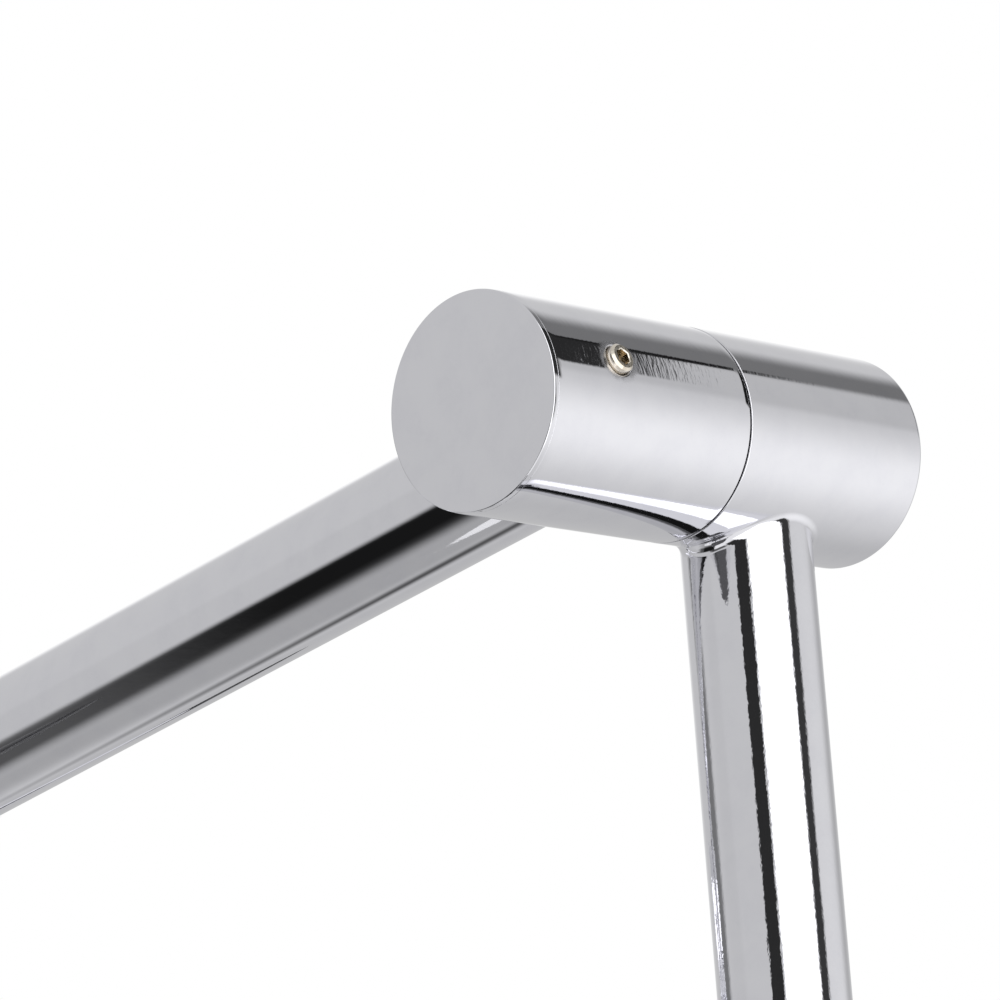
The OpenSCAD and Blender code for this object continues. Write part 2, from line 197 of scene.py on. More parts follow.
def profile(path, steps=6):
    """Rounds a path of (s, r, rounding) into a profile. The solid lies to the right of the path."""
    out = []
    n = len(path)
    pts = [np.array(p[:2], float) for p in path]
    for i in range(n):
        here = pts[i]
        before = unit(here - pts[i - 1]) if i else None
        after = unit(pts[i + 1] - here) if i < n - 1 else None
        if before is None or after is None or np.allclose(before, after, atol=1e-7):
            t = after if after is not None else before
            out.append((*here, -t[1], t[0]))
            continue
        rounding = path[i][2]
        if rounding == 0:
            out.append((*here, -before[1], before[0]))
            out.append((*here, -after[1], after[0]))
            continue
        cross = before[0] * after[1] - before[1] * after[0]
        angle = math.acos(max(-1.0, min(1.0, float(before @ after))))
        reach = rounding * math.tan(angle / 2)
        side = 1 if cross > 0 else -1
        inward = side * np.array([-before[1], before[0]])
        centre = here - before * reach + inward * rounding
        for k in range(steps + 1):
            a = side * angle * k / steps
            c, s = math.cos(a), math.sin(a)
            t = np.array([before[0] * c - before[1] * s, before[0] * s + before[1] * c])
            normal = np.array([-t[1], t[0]])
            out.append((*(centre - side * normal * rounding), *normal))
    return out


def finer(rows, low, high, step):
    """Adds points to the straight stretches of a profile between two places on the axis."""
    out = [rows[0]]
    for a, b in zip(rows, rows[1:]):
        straight = abs(a[2] - b[2]) + abs(a[3] - b[3]) < SAME
        if straight and abs(b[0] - a[0]) > step:
            places = np.arange(min(a[0], b[0]) + step, max(a[0], b[0]), step)
            places = [s for s in places if low < s < high]
            places = places if b[0] > a[0] else places[::-1]
            for s in places:
                t = (s - a[0]) / (b[0] - a[0])
                out.append((s, a[1] + t * (b[1] - a[1]), a[2], a[3]))
        out.append(b)
    return out


def rolled_off(rows, edge, length, depth):
    """Lowers the outside towards an edge, as polishing does: length < 0 lies before the edge."""
    out = []
    bore_r = 0.6 * max(row[1] for row in rows)
    for s, r, ns, nr in rows:
        t = 1 - abs(s - edge) / abs(length)
        if t > 0 and nr > -0.5 and r > bore_r:
            slope = 3 * depth * t * t / length
            r = r - depth * t**3
            ns, nr = unit([ns - slope * nr, nr])
        out.append((s, r, ns, nr))
    return out


ROUND = 192          # points round every turned part
HOLE_HALF = 16       # half the patch round a cross hole, in those points
HOLE_ROWS = 2 * HOLE_HALF
TURN = np.arange(ROUND) * 2 * np.pi / ROUND


def revolve(shell, rows, origin, axis, toward, drill=None, closed=False):
    """Turns a profile about an axis. drill = (s, reach, radius, rim) makes a cross hole through the
    stretch from s - reach to s + reach, on the side that toward says."""
    axis, toward = unit(axis), unit(toward)
    side = np.cross(axis, toward)
    around = np.cos(TURN)[:, None] * toward + np.sin(TURN)[:, None] * side
    if closed:
        rows = rows + [rows[0]]
    rings = []
    for k, (s, r, _, _) in enumerate(rows):
        if closed and k == len(rows) - 1:
            rings.append(rings[0])
        elif rings and abs(s - rows[k - 1][0]) + abs(r - rows[k - 1][1]) < SAME:
            rings.append(rings[-1])
        elif r < SAME:
            rings.append(None)
        else:
            rings.append(shell.add(origin + s * axis + r * around))
    loops = []
    for k in range(len(rows) - 1):
        (s0, r0, a0, b0), (s1, r1, a1, b1) = rows[k], rows[k + 1]
        if rings[k] is rings[k + 1]:
            continue
        if rings[k] is None:
            shell.fan(rings[k + 1], origin + s0 * axis, a0 * axis)
        elif rings[k + 1] is None:
            shell.fan(rings[k], origin + s1 * axis, a1 * axis)
        elif drill and abs(abs(s1 - s0) - 2 * drill[1]) < 100 * SAME and abs(r1 - r0) < SAME:
            pair = (rings[k], rings[k + 1]) if s1 > s0 else (rings[k + 1], rings[k])
            place = (origin, axis, toward, side)
            loops.append(drilled_strip(shell, pair, r0, b0 > 0, place, drill))
        else:
            shell.strip(
                rings[k], rings[k + 1], a0 * axis + b0 * around, a1 * axis + b1 * around
            )
    if len(loops) == 2:
        (ids_a, wall), (ids_b, _) = loops
        shell.strip(ids_a, ids_b, wall, wall)


def drilled_strip(shell, pair, r, outside, place, drill):
    """The stretch of a turned surface that a cross hole goes through. Returns the hole's edge and
    the normals of its wall."""
    origin, axis, toward, side = place
    at, reach, hole_r, rim = drill
    sign = 1 if outside else -1
    around = np.cos(TURN)[:, None] * toward + np.sin(TURN)[:, None] * side
    kept = (np.arange(ROUND) >= HOLE_HALF) & (np.arange(ROUND) <= ROUND - HOLE_HALF)
    grid = [pair[0]]
    for k in range(1, HOLE_ROWS):
        s = at - reach + 2 * reach * k / HOLE_ROWS
        ids = np.full(ROUND, -1)
        ids[kept] = shell.add(origin + s * axis + r * around[kept])
        grid.append(ids)
    grid.append(pair[1])
    j = np.arange(HOLE_HALF, ROUND - HOLE_HALF)
    n = sign * np.stack([around[j], around[j + 1], around[j + 1], around[j]], 1)
    for low, high in zip(grid, grid[1:]):
        shell.faces_of(np.stack([low[j], low[j + 1], high[j + 1], high[j]], 1), n)
    border = [(0, j) for j in range(-HOLE_HALF, HOLE_HALF)]
    border += [(k, HOLE_HALF) for k in range(HOLE_ROWS)]
    border += [(HOLE_ROWS, j) for j in range(HOLE_HALF, -HOLE_HALF, -1)]
    border += [(k, -HOLE_HALF) for k in range(HOLE_ROWS, 0, -1)]
    ids = np.array([grid[k][j % ROUND] for k, j in border])
    edge_s = np.array([2 * reach * k / HOLE_ROWS - reach for k, j in border])
    edge_y = np.array([r * math.sin(j * 2 * math.pi / ROUND) for k, j in border])
    beta = np.radians(-135 + 360 * np.arange(len(border)) / len(border))
    ring_s, ring_y = np.sin(beta), np.cos(beta)
    wall = -(ring_s[:, None] * axis + ring_y[:, None] * side)

    def surface(q_s, q_y, drop=0.0):
        height = np.sqrt(r * r - q_y * q_y)
        p = origin + (at + q_s)[:, None] * axis + q_y[:, None] * side
        n = sign * (q_y[:, None] * side + height[:, None] * toward) / r
        return p + (height - drop)[:, None] * toward, n

    start = hole_r + (rim if outside else 0)
    normals = surface(edge_s, edge_y)[1]
    for t in (0.6, 0.35, 0.2, 0.1, 0.0):  # from the patch's square border in to the round hole
        q_s = start * ring_s * (1 - t) + edge_s * t
        q_y = start * ring_y * (1 - t) + edge_y * t
        points, n = surface(q_s, q_y)
        new = shell.add(points)
        shell.strip(ids, new, normals, n)
        ids, normals = new, n
    steps = 5
    for k in range(1, steps + 1 if outside else 1):
        b = math.pi / 2 * k / steps
        radius = hole_r + rim * (1 - math.sin(b))
        points, n = surface(radius * ring_s, radius * ring_y, rim * (1 - math.cos(b)))
        n = rounded_up(math.cos(b) * n, math.sin(b) * wall)
        new = shell.add(points)
        shell.strip(ids, new, normals, n)
        ids, normals = new, n
    return ids, wall


WELD_STEPS = 10
WELD_HIDDEN = 0.8 * MM   # how far a weld's last ring lies inside the part
CLOSED_AT = 3 * MM       # how far inside the part the tube's end is closed
TUBE_ROUND = 160         # points round every tube
TUBE_TURN = np.arange(TUBE_ROUND) * 2 * np.pi / TUBE_ROUND


def weld(end, sideways, along, r, rho):
    """Rings of a fillet weld between a round tube and a turned part that it meets squarely.
    end = (centre, axis, radius) of that part. The rings run from the tube to the part."""
    centre, axis, big = end
    across = np.cross(along, axis)
    c, s = sideways @ axis, sideways @ across
    up = np.sqrt((big + rho) ** 2 - ((r + rho) * s) ** 2)
    ball = centre + (r + rho) * (c[:, None] * axis + s[:, None] * across) + up[:, None] * along
    n_part = ((r + rho) * s[:, None] * across + up[:, None] * along) / (big + rho)
    rings = []
    for k in range(WELD_STEPS + 1):
        t = k / WELD_STEPS
        dot = np.clip((sideways * n_part).sum(1), -1, 1)
        omega = np.arccos(dot)
        n = (
            np.sin((1 - t) * omega)[:, None] * sideways + np.sin(t * omega)[:, None] * n_part
        ) / np.sin(omega)[:, None]
        rings.append((ball - rho * n, n))
    return rings, ball - (rho + WELD_HIDDEN) * n_part


def tube(name, body, slot, replaced, start, end, r, rho, upright=X):
    """A tube welded at each end to a turned part, (centre, axis, radius), or left open, (point,)."""
    shell = Shell()
    along = unit(end[0] - start[0])
    u = unit(upright - (upright @ along) * along)
    v = np.cross(along, u)
    sideways = np.cos(TUBE_TURN)[:, None] * u + np.sin(TUBE_TURN)[:, None] * v
    halves = []
    for side, stop in ((1, start), (-1, end)):
        if len(stop) == 3:
            rings, hidden = weld(stop, sideways, side * along, r, rho)
            part = [(hidden, rings[-1][1]), *reversed(rings)]
            close = (stop[0] + side * along * (stop[2] - CLOSED_AT), -side * along)
        else:
            part, close = open_end(stop[0], side * along, sideways, r)
        halves.append((part, close))
    (first, first_close), (last, last_close) = halves
    a, b = first[-1][0], last[-1][0]
    between = [(a + t * (b - a), sideways) for t in np.linspace(0, 1, 9)[1:-1]]
    whole = first + between + last[::-1]
    ids = [shell.add(points) for points, _ in whole]
    for k in range(len(whole) - 1):
        shell.strip(ids[k], ids[k + 1], whole[k][1], whole[k + 1][1])
    shell.fan(ids[0], *first_close)
    shell.fan(ids[-1], *last_close)
    # the chrome whose ripple is longest along the tube, which lies nearest to X, Y or Z
    look = ("bar_chrome", "arm_chrome", "chrome")[int(np.argmax(np.abs(along)))]
    return piece(shell.build(name), body, slot, replaced, look)


def open_end(point, inward, sideways, r):
    """Rings of a tube's cut end, from deep in its bore to its outside."""
    edge, depth = 0.4 * MM, 20 * MM
    part = [(point + depth * inward + (r - WALL) * sideways, -sideways)]
    for centre, a, b in ((r - WALL + edge, -90, 0), (r - edge, 0, 90)):
        for turn in np.radians(np.linspace(a, b, 6)):
            n = math.sin(turn) * sideways - math.cos(turn) * inward
            part.append((point + edge * inward + centre * sideways + edge * n, n))
    return part, (point + depth * inward, -inward)


def piece(obj, body, slot, replaced=(), look=None):
    """Makes an object a piece of the stand, with the finish of its slot or a variety of it."""
    obj.data.materials.append(MATERIALS[look or slot])
    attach(obj, body)
    if replaced:
        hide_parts(*replaced)
    return obj


def turned(name, body, slot, replaced, rows, place, drill=None, closed=False, look=None, handled=None):
    """A piece turned about an axis. place = (origin, axis, the side that a cross hole is on)."""
    shell = Shell()
    shell.handled = handled
    revolve(shell, rows, *place, drill, closed)
    return piece(shell.build(name), body, slot, replaced, look)


# ---------- materials


class Graph:
    """Short calls for building a node tree."""

    def __init__(self, tree):
        self.tree = tree
        tree.nodes.clear()

    def node(self, kind, settings=(), **inputs):
        made = self.tree.nodes.new(kind)
        for key, value in dict(settings).items():
            setattr(made, key, value)
        for key, value in inputs.items():
            socket = made.inputs[int(key[1:]) if key[0] == "_" else key.replace("_", " ")]
            if isinstance(value, bpy.types.NodeSocket):
                self.tree.links.new(value, socket)
            else:
                socket.default_value = value
        return made

    def math(self, operation, a, b=0.0, c=0.0):
        return self.node("ShaderNodeMath", {"operation": operation}, _0=a, _1=b, _2=c).outputs[0]

    def smooth(self, value, low, high, to_low=0.0, to_high=1.0):
        """A smooth step from to_low at low to to_high at high."""
        made = self.node(
            "ShaderNodeMapRange", {"interpolation_type": "SMOOTHSTEP"},
            _0=value, _1=low, _2=high, _3=to_low, _4=to_high,
        )
        return made.outputs[0]

    def place(self, scale, turn=(0, 0, 0)):
        """The object's own coordinates, turned and then scaled, in features a metre."""
        own = self.node("ShaderNodeTexCoord").outputs["Object"]
        turned = self.node("ShaderNodeMapping", Vector=own, Rotation=turn).outputs[0]
        return self.node("ShaderNodeMapping", Vector=turned, Scale=scale).outputs[0]

    def noise(self, scale, turn=(0, 0, 0), detail=3.0, rough=0.5):
        made = self.node(
            "ShaderNodeTexNoise", Vector=self.place(scale, turn), Scale=1.0,
            Detail=detail, Roughness=rough,
        )
        return made.outputs["Fac"]

    def cells(self, scale, turn=(0, 0, 0)):
        made = self.node("ShaderNodeTexVoronoi", Vector=self.place(scale, turn), Scale=1.0)
        return made.outputs["Distance"]

    def mix(self, factor, a, b):
        made = self.node("ShaderNodeMix", {"data_type": "RGBA"}, _0=factor, _6=a, _7=b)
        return made.outputs[2]

    def bump(self, height, distance, under=None):
        made = self.node("ShaderNodeBump", Height=height, Distance=distance, Strength=1.0)
        if under is not None:
            self.tree.links.new(under, made.inputs["Normal"])
        return made.outputs[0]


def material(name):
    made = bpy.data.materials.new(name)
    made.use_nodes = True
    return made, Graph(made.node_tree)


def finished(made, graph, **inputs):
    shader = graph.node("ShaderNodeBsdfPrincipled", **inputs)
    out = graph.node("ShaderNodeOutputMaterial")
    graph.tree.links.new(shader.outputs[0], out.inputs[0])
    return made


PLATE = (0.80, 0.80, 0.835, 1)
PLATE_DIM = (0.77, 0.77, 0.81, 1)
PIT = (0.24, 0.23, 0.24, 1)
PIT_STRENGTH = 0.6
SCRATCH_ROUGH = 0.05     # roughness that a rubbed line adds
HANDLED_ROUGH = 0.42     # roughness that handling adds where the "handled" value is 1


def chrome(name, rough, wave, marks):
    """Bright chrome plate. wave is the ripple of the polished metal under it, and marks its turning
    or drawing marks: each (scale, depth). The mesh's own "handled" value dulls it."""
    made, g = material(name)
    ripple = g.noise(wave[0], detail=2.0)
    lines = g.noise(marks[0], detail=2.0, rough=0.6)
    normal = g.bump(lines, marks[1], g.bump(ripple, wave[1]))
    haze = g.noise((160, 160, 160), detail=4.0, rough=0.6)
    pits = g.smooth(g.cells((130, 130, 130)), 0.012, 0.026, 1.0, 0.0)
    pitted_area = g.smooth(g.noise((61, 61, 61), (0.7, 0.2, 0.5)), 0.5, 0.54)
    pits = g.math("MULTIPLY", pits, pitted_area)
    colour = g.mix(g.smooth(haze, 0.35, 0.75), PLATE, PLATE_DIM)
    colour = g.mix(g.math("MULTIPLY", pits, PIT_STRENGTH), colour, PIT)
    scratch = g.smooth(g.noise((45, 900, 900), (0.4, 0.3, 0.9), 2.0), 0.70, 0.76)
    soft = g.smooth(haze, 0.5, 0.8, rough, rough * 2.2)
    soft = g.math("MULTIPLY_ADD", scratch, SCRATCH_ROUGH, soft)
    handled = g.node("ShaderNodeAttribute", {"attribute_name": "handled"}).outputs["Fac"]
    smear = g.smooth(g.noise((350, 350, 350)), 0.3, 0.55, 0.5, 1.0)
    soft = g.math("MULTIPLY_ADD", g.math("MULTIPLY", handled, smear), HANDLED_ROUGH, soft)
    return finished(made, g, Base_Color=colour, Metallic=1.0, Roughness=soft, Normal=normal)


def metal(name, light, shade, rough, grain, depth):
    """Plain machined metal, such as nickel or ground steel."""
    made, g = material(name)
    fine = g.noise(grain)
    stain = g.noise((300, 300, 300))
    return finished(
        made, g,
        Base_Color=g.mix(g.smooth(stain, 0.3, 0.7), (*light, 1), (*shade, 1)),
        Metallic=1.0,
        Roughness=g.smooth(fine, 0.2, 0.8, rough * 0.7, rough * 1.5),
        Normal=g.bump(fine, depth),
    )


def moulded(name, light, shade, rough, grain, depth, sheen):
    """Rubber or moulded plastic: a fine sparked grain and rubbed, lighter patches."""
    made, g = material(name)
    fine = g.cells((grain, grain, grain))
    uneven = g.noise((60, 60, 60), detail=4.0)
    normal = g.bump(fine, depth)
    normal = g.bump(g.noise((140, 140, 140)), depth * 1.5, normal)
    return finished(
        made, g,
        Base_Color=g.mix(g.smooth(uneven, 0.35, 0.7), (*shade, 1), (*light, 1)),
        Roughness=g.smooth(uneven, 0.3, 0.75, rough * 0.85, rough * 1.15),
        Normal=normal,
        Sheen_Weight=sheen,
    )


MATERIALS = {
    # tubes: the polished steel has a fine ripple, longest along the tube
    "chrome": chrome("tube_chrome", 0.022, ((1400, 1400, 900), 1.3e-5), ((2600, 2600, 300), 0.8e-6)),
    "arm_chrome": chrome("arm_chrome", 0.03, ((700, 120, 700), 3e-6), ((2600, 300, 2600), 0.8e-6)),
    "bar_chrome": chrome("bar_chrome", 0.022, ((500, 1100, 1100), 5e-6), ((300, 2600, 2600), 0.8e-6)),
    # hubs: turning marks run round the X axis
    "hub_chrome": chrome("hub_chrome", 0.03, ((1500, 480, 480), 5e-6), ((3800, 240, 240), 0.8e-6)),
    # collars and rings on the column: turning marks run round it
    "tray_chrome": chrome("tray_chrome", 0.03, ((600, 600, 900), 4e-6), ((300, 300, 1900), 1.1e-6)),
}
METALS = {
    # light and dark colour, roughness, grain and its depth
    "nickel": ((0.80, 0.75, 0.66), (0.66, 0.59, 0.48), 0.11, (1500, 1500, 1500), 6e-6),
    "ground_steel": ((0.60, 0.61, 0.62), (0.52, 0.53, 0.54), 0.28, (3000, 300, 300), 8e-6),
}
MOULDED = {
    # the same, and sheen
    "nylon": ((0.80, 0.78, 0.72), (0.70, 0.68, 0.62), 0.45, 900, 1.2e-5, 0.0),
    "rubber": ((0.050, 0.050, 0.052), (0.026, 0.026, 0.028), 0.62, 1300, 3e-5, 0.0),
    "pad_plastic": ((0.040, 0.040, 0.043), (0.024, 0.024, 0.026), 0.36, 1500, 1.6e-5, 0.0),
    "mat": ((0.095, 0.093, 0.098), (0.060, 0.060, 0.063), 0.85, 1700, 7e-5, 0.3),
}
for kind, table in ((metal, METALS), (moulded, MOULDED)):
    for name, settings in table.items():
        MATERIALS[name] = kind(name, *settings)

# CAD nodes that nothing replaces keep their shape, and take the material of their slot's name.
for node_name, node_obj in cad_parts.items():
    node_obj.data.materials[0] = MATERIALS[node_obj.data.materials[0].name.split(".")[0]]

# ---------- friction hubs

FIT = 0.05 * MM
SHARP = 0.06 * MM        # an edge that is only just broken
BORE_R = SPINDLE_R + FIT
RECESS_R = WASHER_R + 2 * FIT
RECESS = 1.0 * MM        # depth of the washer's recess
SCREW_X = middle("elbow_set_screw")[0]
HOLE_R = 2.55 * MM
HOLE_REACH = 5 * MM      # half the length of the stretch that the cross hole is cut in
HUB_DRILL = (SCREW_X, HOLE_REACH, HOLE_R, 0.5 * MM)
HANDLED_REACH = 1.9 * MM
SPIGOT_R, SPIGOT_LEN = 12 * MM, 5 * MM
SEAT_DEPTH = 6 * MM      # of the seat that the cap's spigot goes into
SPINDLE_START = corners("elbow_spindle")[0][0]
HUB_SCREW_PROUD = 1.2 * MM
HUB_SCREW_BITE = 0.9 * MM    # how far its point goes into the spindle's groove
# Where polishing has rolled an edge off: how far from the edge it starts, and how deep it is.
CAP_ROLL, CAP_DROP = 3.0 * MM, 0.14 * MM
PART_ROLL, PART_DROP = 2.0 * MM, 0.08 * MM
END_ROLL, END_DROP = 3.0 * MM, 0.015 * MM


def hub(joint, clamp_body, plain_body, centre):
    """The two halves of a hub and the clamp half's cap, turned about the X axis."""
    screw_side = unit((middle(f"{joint}_set_screw") - centre) * [0, 1, 1])
    start = corners(f"{joint}_hub_clamp")[0][0]
    stop = corners(f"{joint}_hub_plain")[1][0]
    place = (centre, X, screw_side)

    clamp_path = [
        (start + 5 * MM, BORE_R, 0), (start + RECESS, BORE_R, 0), (start + RECESS, RECESS_R, 0),
        (start, RECESS_R, 0), (start, HUB_R, 0.25 * MM),
        (SCREW_X - HOLE_REACH, HUB_R, 0), (SCREW_X + HOLE_REACH, HUB_R, 0),
        (CLAMP_END, HUB_R, SHARP), (CLAMP_END, SPIGOT_R + FIT, 0),
        (CLAMP_END - SEAT_DEPTH, SPIGOT_R + FIT, 0), (CLAMP_END - SEAT_DEPTH, BORE_R, 0),
        (SCREW_X + HOLE_REACH, BORE_R, 0), (SCREW_X - HOLE_REACH, BORE_R, 0),
    ]
    rows = finer(profile(clamp_path), start, start + PART_ROLL, 0.08 * MM)
    rows = finer(rows, CAP_END - CAP_ROLL, CLAMP_END, 0.12 * MM)
    rows = rolled_off(rows, CAP_END, -CAP_ROLL, CAP_DROP)
    rows = rolled_off(rows, start, PART_ROLL, PART_DROP)
    handled = (centre + SCREW_X * X, screw_side, HOLE_R, HOLE_R + HANDLED_REACH)
    turned(
        f"{joint}_hub_clamp_shell", clamp_body, "hub_chrome", [f"{joint}_hub_clamp"],
        rows, place, HUB_DRILL, closed=True, handled=handled,
    )

    cap_path = [
        (CLAMP_END - SPIGOT_LEN, 0, 0), (CLAMP_END - SPIGOT_LEN, SPIGOT_R, 0.3 * MM),
        (CLAMP_END, SPIGOT_R, 0), (CLAMP_END, HUB_R, SHARP),
        (CAP_END, HUB_R, 0.22 * MM), (CAP_END, 0, 0),
    ]
    rows = finer(profile(cap_path, 8), CLAMP_END, CAP_END, 0.1 * MM)
    rows = rolled_off(rows, CAP_END, -CAP_ROLL, CAP_DROP)
    turned(f"{joint}_hub_cap_disc", clamp_body, "hub_chrome", [f"{joint}_hub_cap"], rows, place)

    plain_path = [
        (PLAIN_END, 0, 0), (PLAIN_END, HUB_R, 1.0 * MM), (stop, HUB_R, 0.2 * MM),
        (stop, RECESS_R, 0), (stop - RECESS, RECESS_R, 0), (stop - RECESS, BORE_R, 0),
        (SPINDLE_START - FIT, BORE_R, 0), (SPINDLE_START - FIT, 0, 0),
    ]
    rows = finer(profile(plain_path, 10), PLAIN_END, PLAIN_END + END_ROLL, 0.2 * MM)
    rows = rolled_off(rows, PLAIN_END, END_ROLL, END_DROP)
    turned(f"{joint}_hub_plain_shell", plain_body, "hub_chrome", [f"{joint}_hub_plain"], rows, place)

    screw_at = centre * [0, 1, 1] + SCREW_X * X
    top, bottom = HUB_R + HUB_SCREW_PROUD, SPINDLE_R - HUB_SCREW_BITE
    set_screw(f"{joint}_set_screw", clamp_body, screw_at, screw_side, top, bottom)


SCREW_ROUND = 96
SCREW_R = 2.45 * MM
SOCKET_HALF = 1.25 * MM  # half the socket's width across its flats
SOCKET_DEPTH, DRILL_DEPTH = 2.4 * MM, 2.8 * MM
CHAMFER, LIP, POINT = 0.4 * MM, 0.15 * MM, 1.0 * MM


def set_screw(node, body, centre, out, top, bottom):
    """An M5 set screw with a hexagon socket and chamfered ends, its head at top from the centre."""
    u = unit(np.cross(out, X) if abs(out @ X) < 0.9 else np.cross(out, Z))
    turn = np.arange(SCREW_ROUND) * 2 * np.pi / SCREW_ROUND
    around = np.cos(turn)[:, None] * u + np.sin(turn)[:, None] * np.cross(out, u)
    level = np.broadcast_to(out, around.shape)
    slant = rounded_up(level, around)
    hexagon = (SOCKET_HALF / np.cos(turn % (np.pi / 3) - np.pi / 6))[:, None]
    shell = Shell()

    def ring(height, radius):
        return shell.add(centre + height * out + radius * around)

    deep, mouth = ring(top - SOCKET_DEPTH, hexagon), ring(top - LIP, hexagon)
    rim, edge = ring(top, hexagon + LIP), ring(top, SCREW_R - CHAMFER)
    shoulder, waist = ring(top - CHAMFER, SCREW_R), ring(bottom + POINT, SCREW_R)
    point = ring(bottom, SCREW_R - POINT)
    shell.fan(deep, centre + (top - DRILL_DEPTH) * out, out)
    shell.flat_strip(deep, mouth, -around)
    inner = rounded_up(level, -around)
    shell.strip(mouth, rim, inner, inner)
    shell.strip(rim, edge, level, level)
    shell.strip(edge, shoulder, slant, slant)
    shell.strip(shoulder, waist, around, around)
    blunt = rounded_up(-level, around)
    shell.strip(waist, point, blunt, blunt)
    shell.fan(point, centre + bottom * out, -out)
    piece(shell.build(node + "_detail"), body, "nickel", [node])


hub("foot", "base", "column", FOOT)
hub("elbow", "arm", "column", ELBOW)
hub("wrist", "arm", "hanger", WRIST)

# ---------- welded tubes

WELD, THIN_WELD = 2.0 * MM, 1.5 * MM
LOOP_Z = middle("base_loop")[2]
LOOP_X = corners("base_loop")[1][0] - LOOP_R
LOOP_Y = corners("base_loop")[1][1] - LOOP_R
SHOULDER_Z = corners("shoulder_bar")[1][2] - LOOP_R

tube(
    "column", "column", "chrome", ["column_tube"],
    (FOOT, X, HUB_R), (ELBOW, X, HUB_R), TUBE_R, WELD,
)
arm_side = ARM_X * X
tube(
    "arm", "arm", "chrome", ["arm_tube"],
    (ELBOW + arm_side, X, HUB_R), (WRIST + arm_side, X, HUB_R), TUBE_R, WELD,
)
tube(
    "base_stub_welded", "base", "chrome", ["base_stub"],
    (FOOT * [0, 1, 0] + arm_side + LOOP_Z * Z, X, LOOP_R), (FOOT + arm_side, X, HUB_R), TUBE_R, WELD,
)
tube(
    "neck", "hanger", "chrome", ["neck_tube"],
    (WRIST * [0, 1, 0] + SHOULDER_Z * Z, X, LOOP_R), (WRIST, X, HUB_R), TUBE_R, WELD,
)
rail_low, rail_high = corners("shoe_rails")
for number, y in enumerate((rail_low[1] + RAIL_R, rail_high[1] - RAIL_R), 1):
    ends = [(np.array([side * LOOP_X, y, LOOP_Z]), Y, LOOP_R) for side in (-1, 1)]
    replaced = ["shoe_rails"] if number == 1 else ()
    tube(f"shoe_rail_{number}", "base", "chrome", replaced, *ends, RAIL_R, THIN_WELD, Z)

# ---------- bent tubes


def sweep(name, body, slot, replaced, stations, r, closed):
    """A round tube along stations of (point, two unit vectors across it)."""
    shell = Shell()
    rings = []
    for point, across, up in stations:
        n = np.cos(TUBE_TURN)[:, None] * across + np.sin(TUBE_TURN)[:, None] * up
        rings.append((shell.add(point + r * n), n))
    pairs = list(zip(rings, rings[1:])) + ([(rings[-1], rings[0])] if closed else [])
    for (a, na), (b, nb) in pairs:
        shell.strip(a, b, na, nb)
    if not closed:
        for end, sign in ((0, 1), (-1, -1)):
            point, across, up = stations[end]
            shell.fan(rings[end][0], point, sign * np.cross(across, up))
    return piece(shell.build(name), body, slot, replaced, "bar_chrome")


BASE_BEND = 70 * MM
# the four corners of an oblong: which way it lies from the middle, and where its bend starts
CORNERS = ((1, 1, 0), (-1, 1, 90), (-1, -1, 180), (1, -1, 270))
loop_stations = []
for corner_x, corner_y, first in CORNERS:
    centre = np.array([corner_x * (LOOP_X - BASE_BEND), corner_y * (LOOP_Y - BASE_BEND), LOOP_Z])
    for angle in np.radians(first + np.linspace(0, 90, 33)):
        outward = np.array([math.cos(angle), math.sin(angle), 0.0])
        loop_stations.append((centre + BASE_BEND * outward, outward, Z))
sweep("base_loop_tube", "base", "chrome", ["base_loop"], loop_stations, LOOP_R, True)

SHOULDER_FLAT, SHOULDER_BEND = 30 * MM, 330 * MM
SHOULDER_SLOPE, SHOULDER_SWEEP = math.radians(31), math.radians(22)
DROP = np.array([0.0, -math.sin(SHOULDER_SWEEP), -math.cos(SHOULDER_SWEEP)])
FORWARD = np.cross(DROP, X)
bar_middle = np.array([0.0, WRIST[1], SHOULDER_Z])


def shoulder(angle):
    """A place on the +X shoulder's bend and the direction there away from the bend's centre."""
    lift = math.sin(angle) * X - math.cos(angle) * DROP
    return bar_middle + SHOULDER_FLAT * X + SHOULDER_BEND * (DROP + lift), lift


def other_side(v):
    return v * [-1, 1, 1]


half = []
for angle in np.linspace(0, SHOULDER_SLOPE, 49):
    point, lift = shoulder(angle)
    half.append((point, lift, FORWARD))
mirrored_half = [(other_side(p), other_side(lift), FORWARD) for p, lift, _ in half[::-1]]
sweep("shoulder_tube", "hanger", "chrome", ["shoulder_bar"], mirrored_half + half, LOOP_R, False)

# ---------- moulded shoulder ends

END_ROUND = 96           # points round a shoulder end
END_RINGS = 65
SQUARISH = 2.35          # its section: 2 is an ellipse, more is squarer


